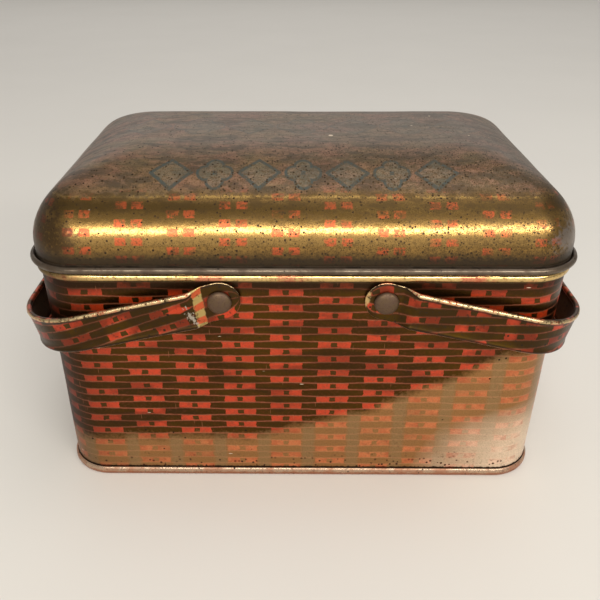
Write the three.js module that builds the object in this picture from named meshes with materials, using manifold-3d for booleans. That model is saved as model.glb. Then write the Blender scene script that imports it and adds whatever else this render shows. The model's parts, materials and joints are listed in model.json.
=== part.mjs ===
// A lithographed tinplate box with a slip lid and two swing handles.
// Millimetres, +Z up, front towards -Y, origin at the middle of the base.
// Each separate sheet or fastener is one closed solid in its own mesh.
import * as THREE from 'three';
import { mergeVertices } from 'three/addons/utils/BufferGeometryUtils.js';
import Module from 'manifold-3d';

const wasm = await Module();
wasm.setup();

// ---- Driving dimensions ----
const BODY_WIDTH = 190;            // outside of the wall, along X
const BODY_DEPTH = 112;            // outside of the wall, along Y
const BODY_CORNER = 16.5;          // plan radius of the wall's outside
const HEIGHT = 127.6;              // table to lid top
const SHEET = 0.6;                 // tinplate of the wall, bottom and handles
const LID_SHEET = 0.5;
const GAP = 0.3;                   // clearance between pieces that touch
const CORNER_STEPS = 7;            // facets in each plan corner
const ROUND_STEPS = 20;            // facets round rivets and holes
const WELD = 1e-4;                 // corners nearer than this are one corner

const SEAM_HEIGHT = 3.4;           // double seam round the bottom edge
const SEAM_PROUD = 1.1;
const PANEL_RECESS = 2.4;          // underside of the bottom panel above the table
const FIELD_INSET = 11;            // the panel's field starts this far inside the wall
const FIELD_SLOPE = 2;
const FIELD_DROP = 1;
const WALL_BOTTOM = 0.9;           // lower edge of the wall, inside the double seam
const LOCK_SEAM_WIDTH = 5;         // fold that closes the wall, up the middle of the back
const LOCK_SEAM_PROUD = 0.45;
const BEAD_Z = 91.2;               // swaged bead under the lid's rim
const BEAD_HALF_HEIGHT = 1.6;
const BEAD_PROUD = 1.3;
const BEAD_STEPS = 6;
const NECK_TOP = 102.6;            // top of the wall, inside the lid
const NECK_LEAN = 0.5;             // the neck is drawn in this much at its top
const HEM_HEIGHT = 3.5;

const LID_SLIP = 0.35;             // play between the neck and the lid's skirt
const RIM_Z = 94.7;                // middle of the curled rim
const RIM_RADIUS = 1.3;            // outside radius of the curl
const SKIRT_TOP = 99.8;            // the dome springs from here
const DOME_INSET = 40;             // how far in the dome's curve reaches
const LID_TOP_CORNER = 7;

const PIVOT_X = 29;                // rivets left and right of the middle
const PIVOT_Z = 82.8;
const HANDLE_REACH = 75.8;         // pivot to the outside of the grip
const HANDLE_DROOP = THREE.MathUtils.degToRad(13);
const HANDLE_WIDTH = 14.5;
const HANDLE_CORNER = 25;          // plan radius of the outside of the bend
const HANDLE_STAND_OFF = 5.8;      // outside of the arm to the wall
const HANDLE_CURL = 2.0;           // depth of the rolled edges
const CURL_HEIGHT = 0.9;
const TAB_RADIUS = 7.4;
const TAB_END = 0.9;               // half width of the flat at the tab's tip
const JOGGLE_START = 4.8;          // the arm steps out between these distances from the pivot
const JOGGLE_END = 9.8;

const SHANK_RADIUS = 2.2;
const HOLE_RADIUS = 2.5;
const HEAD_RADIUS = 4.3;
const HEAD_HEIGHT = 1.9;
const HEAD_EDGE = 0.3;             // upright rim of the head
const BURR_RADIUS = 3.6;
const TAIL_RADIUS = 3.1;
const TAIL_DEPTH = 1;
const BOSS_HEIGHT = 1.25;          // seat pressed out of the wall under each tab
const BOSS_TOP_RADIUS = 4.6;
const BOSS_BASE_RADIUS = 6;

// Stack at each rivet: depths from the wall's outer face, outwards.
const TAB_FACE = BOSS_HEIGHT + GAP + SHEET;
const HEAD_SEAT = TAB_FACE + GAP;
const BURR_FACE = BOSS_HEIGHT - SHEET - GAP;
const BURR_THICKNESS = 0.7;
const TAIL_SEAT = BURR_FACE - BURR_THICKNESS - GAP;

// ---- Materials ----
function material(color, roughness, metalness) {
  return new THREE.MeshStandardMaterial({ color, roughness, metalness });
}
const printedTin = material(0x9c4a24, 0.38, 0.75);
const lidTin = material(0x8a6a38, 0.38, 0.75);
const handleTin = material(0x94502a, 0.38, 0.75);
const bareTin = material(0x8d8175, 0.45, 0.9);
const rivetSteel = material(0x6b5a4c, 0.55, 0.8);

// ---- Shells built from rings ----

// Points of a rounded rectangle, anticlockwise from the +X side.
function roundedRing(halfX, halfY, radius, z) {
  const ring = [];
  const corners = [[1, 1, 0], [-1, 1, 1], [-1, -1, 2], [1, -1, 3]];
  for (const [sideX, sideY, quarter] of corners) {
    const centreX = sideX * (halfX - radius);
    const centreY = sideY * (halfY - radius);
    for (let step = 0; step <= CORNER_STEPS; step += 1) {
      const angle = (quarter + step / CORNER_STEPS) * Math.PI / 2;
      ring.push([centreX + radius * Math.cos(angle), centreY + radius * Math.sin(angle), z]);
    }
  }
  return ring;
}

// A ring that stands `offset` outside the wall's outer face.
function wallRing([offset, z]) {
  return roundedRing(BODY_WIDTH / 2 + offset, BODY_DEPTH / 2 + offset, BODY_CORNER + offset, z);
}

// Joins rings of equal length into one closed body. The last ring joins the first one when
// `endless` is true, and both ends are closed by flat faces otherwise.
function skin(rings, endless) {
  const count = rings[0].length;
  const vertices = rings.flat(2);
  const faces = [];
  const spans = endless ? rings.length : rings.length - 1;
  for (let row = 0; row < spans; row += 1) {
    const here = row * count;
    const next = ((row + 1) % rings.length) * count;
    for (let i = 0; i < count; i += 1) {
      const j = (i + 1) % count;
      faces.push(here + i, here + j, next + j, here + i, next + j, next + i);
    }
  }
  if (!endless) {
    const last = (rings.length - 1) * count;
    for (let i = 1; i < count - 1; i += 1) {
      faces.push(0, i + 1, i, last, last + i, last + i + 1);
    }
  }
  return facingOut(vertices, faces);
}

// Turns the faces over if they enclose a negative volume.
function facingOut(vertices, faces) {
  const corner = (index) => new THREE.Vector3().fromArray(vertices, index * 3);
  let volume = 0;
  for (let i = 0; i < faces.length; i += 3) {
    const cross = corner(faces[i + 1]).cross(corner(faces[i + 2]));
    volume += corner(faces[i]).dot(cross);
  }
  const geometry = new THREE.BufferGeometry();
  geometry.setAttribute('position', new THREE.Float32BufferAttribute(vertices, 3));
  geometry.setIndex(volume > 0 ? faces : faces.reverse());
  return geometry;
}

// Points on an arc in a profile, angles in degrees.
function arc(centreX, centreZ, radiusX, radiusZ, from, to, steps) {
  const points = [];
  for (let step = 0; step <= steps; step += 1) {
    const angle = THREE.MathUtils.degToRad(from + (to - from) * step / steps);
    points.push([centreX + radiusX * Math.cos(angle), centreZ + radiusZ * Math.sin(angle)]);
  }
  return points;
}

// ---- Booleans ----
function toSolid(geometry) {
  const bare = geometry.clone();
  bare.deleteAttribute('normal');
  bare.deleteAttribute('uv');
  const merged = mergeVertices(bare, WELD);
  return new wasm.Manifold(new wasm.Mesh({
    numProp: 3,
    vertProperties: new Float32Array(merged.attributes.position.array),
    triVerts: new Uint32Array(merged.index.array),
  }));
}

function toGeometry(solid) {
  const mesh = solid.getMesh();
  const geometry = new THREE.BufferGeometry();
  geometry.setAttribute('position', new THREE.BufferAttribute(mesh.vertProperties, 3));
  geometry.setIndex(new THREE.BufferAttribute(mesh.triVerts, 1));
  return geometry;
}

// A round plug along Y between two depths from the wall's outer face, at a rivet's place.
function rivetPlug(x, side, fromDepth, fromRadius, toDepth, toRadius) {
  const plug = new THREE.CylinderGeometry(toRadius, fromRadius, toDepth - fromDepth, ROUND_STEPS);
  plug.translate(0, (fromDepth + toDepth) / 2, 0);
  if (side < 0) {
    plug.rotateX(Math.PI);
  }
  plug.translate(x, side * BODY_DEPTH / 2, PIVOT_Z);
  return toSolid(plug);
}

// ---- Body wall ----
function bodyWall() {
  const inner = -SHEET;
  const ease = 0.3;                            // rounding of the folded hem
  const profile = [
    [inner, WALL_BOTTOM],
    [0, WALL_BOTTOM],
    ...arc(0, BEAD_Z, BEAD_PROUD, BEAD_HALF_HEIGHT, -90, 90, BEAD_STEPS),
    [-NECK_LEAN, NECK_TOP - ease],
    [inner - NECK_LEAN, NECK_TOP],
    [2 * inner - NECK_LEAN, NECK_TOP - ease],
    [2 * inner - NECK_LEAN, NECK_TOP - HEM_HEIGHT],
    [inner - NECK_LEAN / 2, NECK_TOP - HEM_HEIGHT - ease],
    ...arc(inner, BEAD_Z, BEAD_PROUD, BEAD_HALF_HEIGHT, 90, -90, BEAD_STEPS),
  ];
  let wall = toSolid(skin(profile.map(wallRing), true));

  // The lock seam runs from the double seam to the bead and is rooted in half the sheet.
  const root = SHEET / 2;
  const seamBottom = SEAM_HEIGHT + 2 * GAP;
  const seamTop = BEAD_Z - BEAD_HALF_HEIGHT - GAP;
  const seam = new THREE.BoxGeometry(LOCK_SEAM_WIDTH, LOCK_SEAM_PROUD + root, seamTop - seamBottom);
  const seamMiddleY = (BODY_DEPTH + LOCK_SEAM_PROUD - root) / 2;
  seam.translate(0, seamMiddleY, (seamTop + seamBottom) / 2);
  wall = wall.add(toSolid(seam));

  // A hollow boss at each rivet, and the rivet's hole through it. The cuts start behind the sheet.
  const behind = 2;
  const hollowTop = BOSS_HEIGHT - SHEET;
  const hollowRim = BOSS_BASE_RADIUS - SHEET + behind;
  const hollowCrown = BOSS_TOP_RADIUS - SHEET / 2;
  for (const side of [-1, 1]) {
    for (const x of [-PIVOT_X, PIVOT_X]) {
      wall = wall
        .add(rivetPlug(x, side, -root, BOSS_BASE_RADIUS, BOSS_HEIGHT, BOSS_TOP_RADIUS))
        .subtract(rivetPlug(x, side, -behind, hollowRim, hollowTop, hollowCrown))
        .subtract(rivetPlug(x, side, -behind, HOLE_RADIUS, 2 * BOSS_HEIGHT, HOLE_RADIUS));
    }
  }
  return toGeometry(wall);
}

// ---- Bottom panel, its flange folded round the wall's lower edge ----
function bottomPanel() {
  const inside = -SHEET - GAP;                 // channel face next to the wall's inside
  const outside = GAP;                         // channel face next to the wall's outside
  const panelTop = PANEL_RECESS + SHEET;
  const fieldUnder = FIELD_INSET + 0.2;
  const ease = 0.4;                            // rounding of the folds
  const profile = [
    [-FIELD_INSET, panelTop - FIELD_DROP],     // panel, upper face
    [-FIELD_INSET + FIELD_SLOPE, panelTop],
    [inside - SHEET - 2 * ease, panelTop],
    [inside - ease, panelTop + ease],
    [inside, panelTop],
    [inside, SHEET],                           // channel round the wall's edge
    [outside, SHEET],
    [outside, SEAM_HEIGHT - ease],
    [outside + ease / 2, SEAM_HEIGHT],         // seam, outer face
    [SEAM_PROUD - ease, SEAM_HEIGHT],
    [SEAM_PROUD, SEAM_HEIGHT - 2 * ease],
    [SEAM_PROUD, 2 * ease],
    [SEAM_PROUD - ease, 0],
    [inside - SHEET + ease, 0],                // standing edge
    [inside - SHEET, ease],
    [inside - SHEET, PANEL_RECESS - ease],
    [inside - SHEET - ease, PANEL_RECESS],     // panel, lower face
    [-fieldUnder + FIELD_SLOPE, PANEL_RECESS],
    [-fieldUnder, PANEL_RECESS - FIELD_DROP],
  ];
  return skin(profile.map(wallRing), false);
}

// ---- Lid ----

// The dome's rings follow the skirt's outline, and their corners tighten as they climb.
function lidRing(offset, inset, z) {
  const out = offset - inset;
  const corner = Math.max(BODY_CORNER + out, LID_TOP_CORNER);
  return roundedRing(BODY_WIDTH / 2 + out, BODY_DEPTH / 2 + out, corner, z);
}

// A quarter of an ellipse from the skirt up to the flat top.
function domeRings(offset, thickness, steps) {
  const rise = HEIGHT - thickness - SKIRT_TOP;
  const rings = [];
  for (let step = 0; step <= steps; step += 1) {
    const angle = step / steps * Math.PI / 2;
    const inset = DOME_INSET * (1 - Math.cos(angle));
    rings.push(lidRing(offset, inset, SKIRT_TOP + rise * Math.sin(angle)));
  }
  return rings;
}

function lidShell() {
  const domeSteps = 9;
  const inner = LID_SLIP;
  const outer = LID_SLIP + LID_SHEET;
  const curlX = inner + RIM_RADIUS;
  const curlCore = RIM_RADIUS - LID_SHEET;
  const asRing = ([offset, z]) => lidRing(offset, 0, z);
  const rings = [
    ...domeRings(inner, LID_SHEET, domeSteps).reverse(),
    ...arc(curlX, RIM_Z, RIM_RADIUS, RIM_RADIUS, 180, 450, 8).map(asRing),
    ...arc(curlX, RIM_Z, curlCore, curlCore, 450, 180, 6).map(asRing),
    ...domeRings(outer, 0, domeSteps),
  ];
  return skin(rings, false);
}

// ---- Handles ----

// Outside face of the right handle in plan: distance u from the pivot, and y.
function handlePath() {
  const tabY = BODY_DEPTH / 2 + TAB_FACE;
  const armY = BODY_DEPTH / 2 + HANDLE_STAND_OFF;
  const tabShares = [0, 0.05, 0.2, 0.42, 0.7, 1];
  const path = tabShares.map((share) => [-TAB_RADIUS * (1 - share), tabY]);
  const joggleSteps = 5;
  for (let step = 0; step <= joggleSteps; step += 1) {
    const share = step / joggleSteps;
    const rise = (1 - Math.cos(share * Math.PI)) / 2;
    const u = THREE.MathUtils.lerp(JOGGLE_START, JOGGLE_END, share);
    path.push([u, THREE.MathUtils.lerp(tabY, armY, rise)]);
  }
  const bendSteps = 9;
  for (let step = 0; step <= bendSteps; step += 1) {
    const angle = step / bendSteps * Math.PI / 2;
    const u = HANDLE_REACH - HANDLE_CORNER * (1 - Math.sin(angle));
    path.push([u, armY - HANDLE_CORNER * (1 - Math.cos(angle))]);
  }
  const front = path.map(([u, y]) => new THREE.Vector2(u, -y));
  const back = path.map(([u, y]) => new THREE.Vector2(u, y)).reverse();
  return [...front, ...back];
}

// Half width of the strap at distance u from the pivot: a round tab, then parallel edges.
function strapHalfWidth(u) {
  if (u < 0) {
    return Math.max(Math.sqrt(TAB_RADIUS ** 2 - u ** 2), TAB_END);
  }
  const share = THREE.MathUtils.smoothstep(u, 0, JOGGLE_END);
  return THREE.MathUtils.lerp(TAB_RADIUS, HANDLE_WIDTH / 2, share);
}

// A rolled edge as shares of the curl's depth inwards and of its height downwards.
const ROLL_SHAPE = [[0, 0.6], [0.35, 0], [0.8, 0.2], [1, 0.9]];
const ROLL_FOOT = 1.9;             // where the roll meets the web, in heights of the curl

// Cross-section as [depth inwards, height]: a web whose two edges are rolled inwards.
function strapSection(halfWidth, curl) {
  const edge = Math.min(CURL_HEIGHT, halfWidth / 2);
  const upper = ROLL_SHAPE.map(([inwards, down]) => [curl * inwards, halfWidth - edge * down]);
  upper.push([SHEET, halfWidth - edge * ROLL_FOOT]);
  const lower = upper.map(([depth, height]) => [depth, -height]).reverse();
  return [...upper, ...lower];
}

// The handle is swept in a level frame, then turned down by its droop. side is 1 for right.
function handle(side) {
  const path = handlePath();
  const rings = path.map((point, index) => {
    const before = path[Math.max(index - 1, 0)];
    const after = path[Math.min(index + 1, path.length - 1)];
    const along = after.clone().sub(before).normalize();
    const inward = new THREE.Vector2(-along.y, along.x);
    const curl = THREE.MathUtils.lerp(
      SHEET, HANDLE_CURL, THREE.MathUtils.smoothstep(point.x, JOGGLE_START, JOGGLE_END));
    return strapSection(strapHalfWidth(point.x), curl).map(([depth, height]) => [
      point.x + inward.x * depth,
      point.y + inward.y * depth,
      height,
    ]);
  });
  let solid = toSolid(skin(rings, false));
  const hole = new THREE.CylinderGeometry(HOLE_RADIUS, HOLE_RADIUS, 2 * BODY_DEPTH, ROUND_STEPS);
  solid = solid.subtract(toSolid(hole));
  const geometry = toGeometry(solid);
  geometry.rotateY(HANDLE_DROOP);
  if (side < 0) {
    geometry.rotateZ(Math.PI);
  }
  geometry.translate(side * PIVOT_X, 0, PIVOT_Z);
  return geometry;
}

// ---- Rivets and the burrs they are closed over ----

// A lathed fastener on the Y axis, moved to its place in the front (-1) or back (1) wall.
function turned(profile, x, side) {
  const points = profile.map(([radius, depth]) => new THREE.Vector2(radius, depth));
  const geometry = new THREE.LatheGeometry(points, ROUND_STEPS);
  if (side < 0) {
    geometry.rotateX(Math.PI);
  }
  geometry.translate(x, side * BODY_DEPTH / 2, PIVOT_Z);
  return closedLathe(geometry);
}

// Joins a lathed surface where it meets itself and drops the flat triangles on its axis.
function closedLathe(geometry) {
  geometry.deleteAttribute('normal');
  geometry.deleteAttribute('uv');
  const merged = mergeVertices(geometry, WELD);
  const triangles = [];
  const index = merged.index.array;
  for (let i = 0; i < index.length; i += 3) {
    const [a, b, c] = [index[i], index[i + 1], index[i + 2]];
    if (a !== b && b !== c && a !== c) {
      triangles.push(a, b, c);
    }
  }
  return facingOut(Array.from(merged.attributes.position.array), triangles);
}

function rivet(x, side) {
  const domeSteps = 5;
  const dome = arc(0, HEAD_SEAT + HEAD_EDGE, HEAD_RADIUS, HEAD_HEIGHT - HEAD_EDGE, 0, 90, domeSteps);
  dome[domeSteps][0] = 0;
  const tail = arc(0, TAIL_SEAT, TAIL_RADIUS, TAIL_DEPTH, -90, 0, 2);
  tail[0][0] = 0;
  const profile = [
    ...tail,
    [SHANK_RADIUS, TAIL_SEAT],
    [SHANK_RADIUS, HEAD_SEAT],
    [HEAD_RADIUS, HEAD_SEAT],
    ...dome,
  ];
  return turned(profile, x, side);
}

function burr(x, side) {
  const profile = [
    [HOLE_RADIUS, BURR_FACE - BURR_THICKNESS],
    [BURR_RADIUS, BURR_FACE - BURR_THICKNESS],
    [BURR_RADIUS, BURR_FACE],
    [HOLE_RADIUS, BURR_FACE],
    [HOLE_RADIUS, BURR_FACE - BURR_THICKNESS],
  ];
  return turned(profile, x, side);
}

// ---- Assembly ----
const tin = new THREE.Group();

function addPiece(name, geometry, finish) {
  const mesh = new THREE.Mesh(geometry, finish);
  mesh.name = name;
  tin.add(mesh);
}

addPiece('body_wall', bodyWall(), printedTin);
addPiece('bottom_panel', bottomPanel(), bareTin);
addPiece('lid_shell', lidShell(), lidTin);
addPiece('handle_left', handle(-1), handleTin);
addPiece('handle_right', handle(1), handleTin);
for (const [where, side] of [['front', -1], ['back', 1]]) {
  for (const [hand, x] of [['left', -PIVOT_X], ['right', PIVOT_X]]) {
    addPiece(`rivet_${where}_${hand}`, rivet(x, side), rivetSteel);
    addPiece(`burr_${where}_${hand}`, burr(x, side), bareTin);
  }
}

export default tin;
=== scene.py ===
import json
import math

import bmesh
import bpy
import numpy as np
from mathutils import Matrix, Vector, noise


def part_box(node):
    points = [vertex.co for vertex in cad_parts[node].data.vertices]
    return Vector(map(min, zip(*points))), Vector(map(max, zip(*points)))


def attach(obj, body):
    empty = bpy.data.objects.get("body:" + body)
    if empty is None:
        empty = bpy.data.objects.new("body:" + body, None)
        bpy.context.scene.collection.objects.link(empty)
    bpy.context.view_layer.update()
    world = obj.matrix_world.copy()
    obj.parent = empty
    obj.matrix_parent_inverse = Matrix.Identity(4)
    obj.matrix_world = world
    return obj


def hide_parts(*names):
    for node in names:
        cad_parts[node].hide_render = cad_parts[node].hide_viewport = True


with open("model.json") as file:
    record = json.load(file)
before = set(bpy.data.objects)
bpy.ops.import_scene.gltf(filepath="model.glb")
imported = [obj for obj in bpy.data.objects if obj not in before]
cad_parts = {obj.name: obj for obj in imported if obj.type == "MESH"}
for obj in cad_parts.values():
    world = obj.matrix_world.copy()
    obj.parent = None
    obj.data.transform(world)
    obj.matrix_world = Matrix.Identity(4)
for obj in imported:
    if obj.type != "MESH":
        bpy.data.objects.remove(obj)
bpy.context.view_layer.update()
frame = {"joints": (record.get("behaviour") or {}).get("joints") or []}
MM = 0.001

# ---- Dimensions: what the frame gives, and the sheet-metal details within it ----
SHEET = 0.6
GAP = 0.3  # clearance between folded layers
FOLD = 0.2  # slope where one layer ends
BEAD_PROUD = 1.3
BEAD_HALF_HEIGHT = 1.6
BEAD_Z = 91.2
wall_low, wall_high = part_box("body_wall")
WALL_X = wall_high.x / MM - BEAD_PROUD  # half sizes of the wall's outer face
WALL_Y = wall_high.y / MM - BEAD_PROUD
WALL_FOOT = wall_low.z / MM
NECK_TOP = wall_high.z / MM
CORNER = 16.5
GIRTH = 4 * (WALL_X + WALL_Y) - (8 - 2 * math.pi) * CORNER
NECK_LEAN = 0.5
HEM_HEIGHT = 3.5

SEAM_HEIGHT = 3.4  # double seam round the bottom
SEAM_PROUD = 1.1
PANEL_Z = 2.4

LID_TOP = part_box("lid_shell")[1].z / MM
LID_SHEET = 0.5
LID_SLIP = 0.35
RIM_Z = 94.7
RIM_RADIUS = 1.3
SKIRT_TOP = 99.8
DOME_INSET = 40
LID_TOP_CORNER = 7
LID_CORNER_EASE = 2.4  # softens the change to that corner
DOME_SPREAD = 14.5  # the flat top goes on this far past the dome

hinge = next(j for j in frame["joints"] if j["name"] == "right_handle_swing")
PIVOT_X = abs(hinge["pos_m"][0]) / MM
PIVOT_Z = hinge["pos_m"][2] / MM
HANDLE_REACH = 75.8
HANDLE_DROOP = math.radians(13)
HANDLE_WIDTH = 14.5
HANDLE_BEND = 25
HANDLE_STAND_OFF = 5.8
ROLL = 1.0  # radius of the strap's rolled edges
WEB_SET_BACK = 0.42
TAB_RADIUS = 7.4
TAB_CUP = 0.4  # the tab's rim turns in by this, from CUP_FROM outwards
CUP_FROM = 5.3
JOGGLE = (4.8, 9.8)
TAB_FACE = 2.15  # depths from the wall's outer face, outwards
HEAD_SEAT = 2.45
HEAD_RADIUS = 4.3
HEAD_HEIGHT = 1.9
HEAD_EDGE = 0.35
SHANK_RADIUS = 2.2
HOLE_RADIUS = 2.5
BOSS_HEIGHT = 1.25
BOSS_TOP_RADIUS = 4.6
BOSS_BASE_RADIUS = 6
BURR_FACE = 0.35
BURR_THICKNESS = 0.7
BURR_RADIUS = 3.6
TAIL_SEAT = -0.65
TAIL_RADIUS = 3.1
TAIL_DEPTH = 1.0
LOCK_SEAM_HALF = 2.5  # folded joint up the back
LOCK_SEAM_PROUD = 0.45
LOCK_SEAM_SPAN = (4.0, 89.2)

# ---- Mesh steps ----
COARSE = 3.5  # between stations on plain sheet
FINE_COLUMN = 0.95  # and near the rivets
FINE_ROW = 0.9
RIVET_REACH = 8.5  # columns are fine this near to a rivet
ARC_STEPS = 14
ROUND_SEGMENTS = 48
SHARP = math.radians(38)  # edges steeper than this stay sharp

# ---- Printed weave ----
PERIOD = 35.2  # between two red strands of one row
ROW = 3.13
RED_HALF = 5.9
RED_HALF_HEIGHT = 1.42
SQUARE_HALF = 1.12
SQUARE_HALF_HEIGHT = 1.15
BAR_HALF_HEIGHT = 1.12
LINE_FROM = 1.44  # hairlines between rows start here
BOW = 0.2
STRAND_X = -23.5  # a strand on the front, and the height of its square
STRAND_Z = 44.7


def smooth(value, low, high):
    share = min(max((value - low) / (high - low), 0), 1)
    return share * share * (3 - 2 * share)


def spaced(start, stop, step):
    """Even values from start up to but not including stop, at most step apart."""
    count = max(1, math.ceil(abs(stop - start) / step - 1e-6))
    return [start + (stop - start) * i / count for i in range(count)]


def arc(centre, radii, start, stop, steps):
    """Profile points on an arc; angles in degrees."""
    turns = [math.radians(start + (stop - start) * i / steps) for i in range(steps + 1)]
    return [(centre[0] + radii[0] * math.cos(t), centre[1] + radii[1] * math.sin(t)) for t in turns]


# ---- Meshes ----
def drill(piece, x):
    """Opens a rivet's hole along Y through a piece, which gets a new mesh."""
    shape = bmesh.new()
    bmesh.ops.create_cone(
        shape, cap_ends=True, segments=ROUND_SEGMENTS, radius1=HOLE_RADIUS * MM,
        radius2=HOLE_RADIUS * MM, depth=3 * WALL_Y * MM,
        matrix=Matrix.Translation(Vector((x, 0, PIVOT_Z)) * MM) @ Matrix.Rotation(math.pi / 2, 4, "X"))
    bit = bpy.data.objects.new("bit", bpy.data.meshes.new("bit"))
    shape.to_mesh(bit.data)
    shape.free()
    bpy.context.scene.collection.objects.link(bit)
    cut = piece.modifiers.new("hole", "BOOLEAN")
    cut.operation = "DIFFERENCE"
    cut.solver = "EXACT"
    cut.object = bit
    bpy.context.view_layer.update()
    drilled = piece.evaluated_get(bpy.context.evaluated_depsgraph_get())
    drilled = bpy.data.meshes.new_from_object(drilled)
    piece.modifiers.clear()
    piece.data = drilled
    bpy.data.objects.remove(bit)


def make_piece(name, body, replaced, vertices, faces, corners, paints, materials,
               hole_x=None):
    """A finished piece. corners holds the print coordinates of each face's corners."""
    mesh = bpy.data.meshes.new(name)
    mesh.from_pydata([Vector(v) * MM for v in vertices], [], faces)
    layer = mesh.uv_layers.new(name="print")
    for polygon, spots in zip(mesh.polygons, corners):
        for loop, spot in zip(polygon.loop_indices, spots):
            layer.data[loop].uv = spot
    for material in materials:
        mesh.materials.append(material)
    mesh.polygons.foreach_set("material_index", paints)
    shape = bmesh.new()
    shape.from_mesh(mesh)
    bmesh.ops.recalc_face_normals(shape, faces=shape.faces)
    shape.to_mesh(mesh)
    shape.free()
    piece = bpy.data.objects.new(name, mesh)
    bpy.context.scene.collection.objects.link(piece)
    if hole_x is not None:
        drill(piece, hole_x)
    shape = bmesh.new()
    shape.from_mesh(piece.data)
    for face in shape.faces:
        face.smooth = True
    for edge in shape.edges:
        edge.smooth = edge.calc_face_angle(0) < SHARP
    shape.to_mesh(piece.data)
    shape.free()
    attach(piece, body)
    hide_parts(replaced)
    return piece


class Loft:
    """A closed skin over rings of equal length, shape (rings, stations, 3)."""

    def __init__(self, rings, along, round_it, endless=False, swap=False):
        self.rings = np.array(rings, float)
        self.along = along  # print coordinate of each ring
        self.round_it = round_it  # print coordinate of each station, plus the closing one
        self.endless = endless
        self.swap = swap
        self.skipped = set()

    def index(self, row, column):
        rows, columns = self.rings.shape[:2]
        return (row % rows) * columns + column % columns

    def spot(self, row, column):
        pair = (self.round_it[column], self.along[row])
        return pair[::-1] if self.swap else pair

    def faces(self, paint_of):
        """Faces, their print corners and their material numbers."""
        rows, columns = self.rings.shape[:2]
        faces, corners, paints = [], [], []
        for row in range(rows if self.endless else rows - 1):
            for column in range(columns):
                if (row, column) in self.skipped:
                    continue
                cell = [(row, column), (row, column + 1), (row + 1, column + 1), (row + 1, column)]
                faces.append([self.index(*spot) for spot in cell])
                corners.append([self.spot(*spot) for spot in cell])
                paints.append(paint_of(row))
        if not self.endless:
            for row in (0, rows - 1):
                faces.append([self.index(row, column) for column in range(columns)])
                corners.append([self.spot(row, column) for column in range(columns)])
                paints.append(paint_of(min(row, rows - 2)))
        return faces, corners, paints


def lengths(points):
    """Distance along a polyline at each point."""
    steps = np.linalg.norm(np.diff(np.array(points, float), axis=0), axis=1)
    return np.concatenate([[0], np.cumsum(steps)])


class Outline:
    """Stations round a rounded rectangle, anticlockwise from the middle of the back."""

    def __init__(self, long_marks, short_marks, corner_steps):
        stations = [(-m, 1, 90) for m in long_marks if m >= 0]
        quarter = [90 * i / corner_steps for i in range(1, corner_steps)]
        stations += [(-1, 1, 90 + q) for q in quarter]
        stations += [(-1, -m, 180) for m in short_marks]
        stations += [(-1, -1, 180 + q) for q in quarter]
        stations += [(m, -1, 270) for m in long_marks]
        stations += [(1, -1, 270 + q) for q in quarter]
        stations += [(1, m, 0) for m in short_marks]
        stations += [(1, 1, q) for q in quarter]
        stations += [(-m, 1, 90) for m in long_marks if m < 0]
        self.stations = np.array(stations, float)
        turn = np.radians(self.stations[:, 2])
        self.out = np.column_stack([np.cos(turn), np.sin(turn)])
        nominal = self.ring(WALL_X, WALL_Y, CORNER, 0)
        self.along = lengths(np.vstack([nominal, nominal[:1]]))

    def ring(self, half_x, half_y, radius, z):
        spread = self.stations[:, :2] * [half_x - radius, half_y - radius]
        plan = spread + radius * self.out
        return np.column_stack([plan, np.full(len(plan), z)])

    def wall_ring(self, offset, z):
        return self.ring(WALL_X + offset, WALL_Y + offset, CORNER + offset, z)


def dent(place, size, depth):
    """How far a point is pushed in by knocks, from 0 to depth."""
    swell = noise.noise(Vector(place) / size) + 0.5 * noise.noise(Vector(place) / (size * 0.45))
    return depth * max(0, min(swell + 0.15, 1))


# ---- Body wall ----
def wall_marks():
    straight = WALL_X - CORNER
    near, far = PIVOT_X - RIVET_REACH, PIVOT_X + RIVET_REACH
    half = [0, LOCK_SEAM_HALF / 2, LOCK_SEAM_HALF, LOCK_SEAM_HALF + FOLD]
    half += spaced(half[-1] + 2, near, COARSE) + spaced(near, far, FINE_COLUMN)
    half += spaced(far, straight, COARSE)
    half.append(straight)
    return [-x / straight for x in half[:0:-1]] + [x / straight for x in half]


def wall_heights():
    seam_low, seam_high = LOCK_SEAM_SPAN
    boss_low = PIVOT_Z - BOSS_BASE_RADIUS - 0.5
    heights = [WALL_FOOT, PANEL_Z, seam_low, seam_low + 0.3]
    heights += spaced(6, boss_low, COARSE) + spaced(boss_low, seam_high - FOLD, FINE_ROW)
    return heights + [seam_high - FOLD, seam_high]


def wall_lift(outline, column, point, outer):
    """How far the sheet stands out from its flat place."""
    x, _, z = point
    facing = outline.stations[column, 2]
    distance = math.inf
    lift = 0
    if facing in (90, 270):
        distance = math.hypot(abs(x) - PIVOT_X, z - PIVOT_Z)
        lift = BOSS_HEIGHT * (1 - smooth(distance, BOSS_TOP_RADIUS, BOSS_BASE_RADIUS))
    if outer and facing == 90 and abs(x) <= LOCK_SEAM_HALF:
        if LOCK_SEAM_SPAN[0] < z < LOCK_SEAM_SPAN[1]:
            return LOCK_SEAM_PROUD
    # The sheet keeps its shape near the seam, the bead and the rivets.
    slack = smooth(z, 4, 22) * (1 - smooth(z, 62, 84)) * smooth(distance, 8, 16)
    return lift - slack * dent(point * [1, 1, 0.8], 34, 0.35)


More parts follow.
